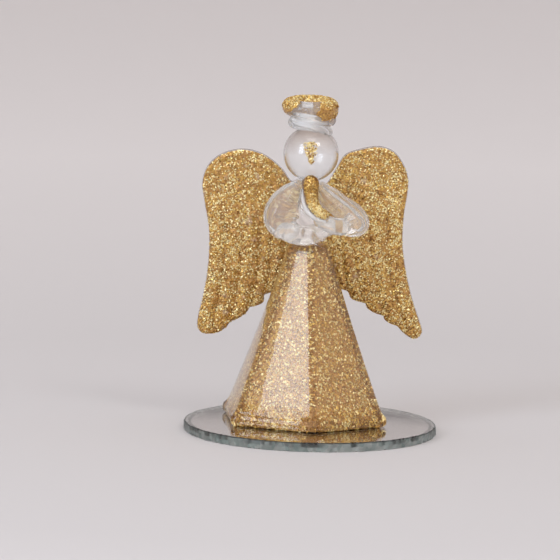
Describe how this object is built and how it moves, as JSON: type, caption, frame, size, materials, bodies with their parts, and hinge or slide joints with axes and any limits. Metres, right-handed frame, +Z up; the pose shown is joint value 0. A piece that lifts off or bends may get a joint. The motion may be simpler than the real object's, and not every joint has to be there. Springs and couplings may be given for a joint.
{
  "type": "angel figurine",
  "caption": "Clear glass angel with gold glitter wings, skirt and halo, glued on a round bevelled mirror, to stand on a shelf or table as an ornament.",
  "frame": {"origin": "middle of the mirror base's underside, on the surface that the object stands on", "axes": "+Z up, the figure faces -Y, +X is the figure's own left"},
  "size_m": [0.06, 0.06, 0.0804],
  "materials": {
    "clear_glass": "clear, fire polished, glossy",
    "mirror_glass": "flat mirror glass, silvered behind, ground and slightly chipped greenish edge",
    "silver_backing": "silvering under thin protective lacquer",
    "gold_glitter": "dense gold glitter flakes in clear glossy varnish",
    "clear_glue": "clear glossy adhesive"
  },
  "bodies": {
    "root": {"mirror_backing": "silver_backing", "mirror_disc": "mirror_glass", "base_adhesive": "clear_glue", "skirt_shell": "clear_glass", "skirt_lining": "gold_glitter", "torso": "clear_glass", "right_sleeve": "clear_glass", "left_sleeve": "clear_glass", "right_forearm": "clear_glass", "left_forearm": "clear_glass", "praying_hands": "clear_glass", "hands_glitter": "gold_glitter", "head": "clear_glass", "face_glitter": "gold_glitter", "hair": "clear_glass", "halo_ring": "clear_glass", "halo_glitter": "gold_glitter", "right_wing": "clear_glass", "right_wing_glitter": "gold_glitter", "left_wing": "clear_glass", "left_wing_glitter": "gold_glitter", "right_wing_adhesive": "clear_glue", "left_wing_adhesive": "clear_glue"}
  },
  "joints": []
}
